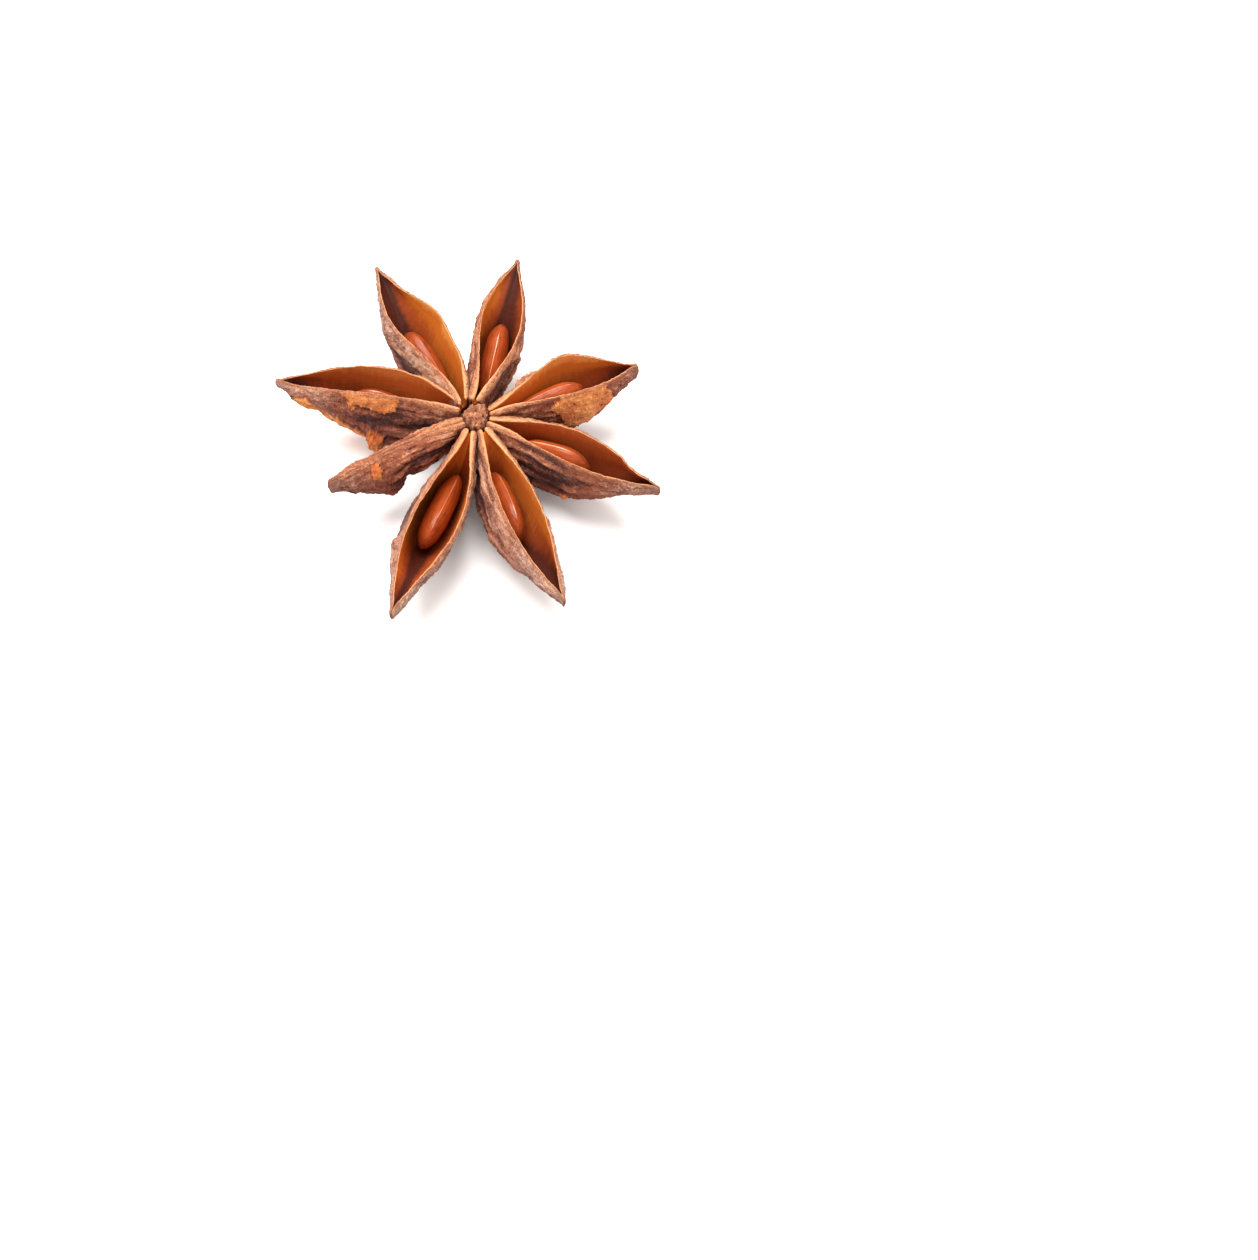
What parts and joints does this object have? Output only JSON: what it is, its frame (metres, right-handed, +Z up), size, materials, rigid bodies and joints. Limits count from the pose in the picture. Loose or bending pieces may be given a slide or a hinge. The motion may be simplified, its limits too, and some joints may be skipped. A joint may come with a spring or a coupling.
{
  "type": "star anise",
  "caption": "Dried star anise fruit: woody boat-shaped carpels spread round a short column, most split open along the top with a glossy seed lying inside.",
  "frame": {"origin": "on the surface that the star rests on, under the centre of its box", "axes": "+Z up along the fruit's column, with the openings of the carpels upward; -Y towards the viewer of the picture, +X to the viewer's right"},
  "size_m": [0.0348, 0.0356, 0.0098],
  "materials": {
    "husk": "dry, rough and fibrous",
    "seed_coat": "smooth and glossy"
  },
  "bodies": {
    "root": {"pericarp": "husk", "seed_1": "seed_coat", "seed_2": "seed_coat", "seed_3": "seed_coat", "seed_4": "seed_coat", "seed_5": "seed_coat", "seed_6": "seed_coat", "seed_8": "seed_coat"}
  },
  "joints": []
}
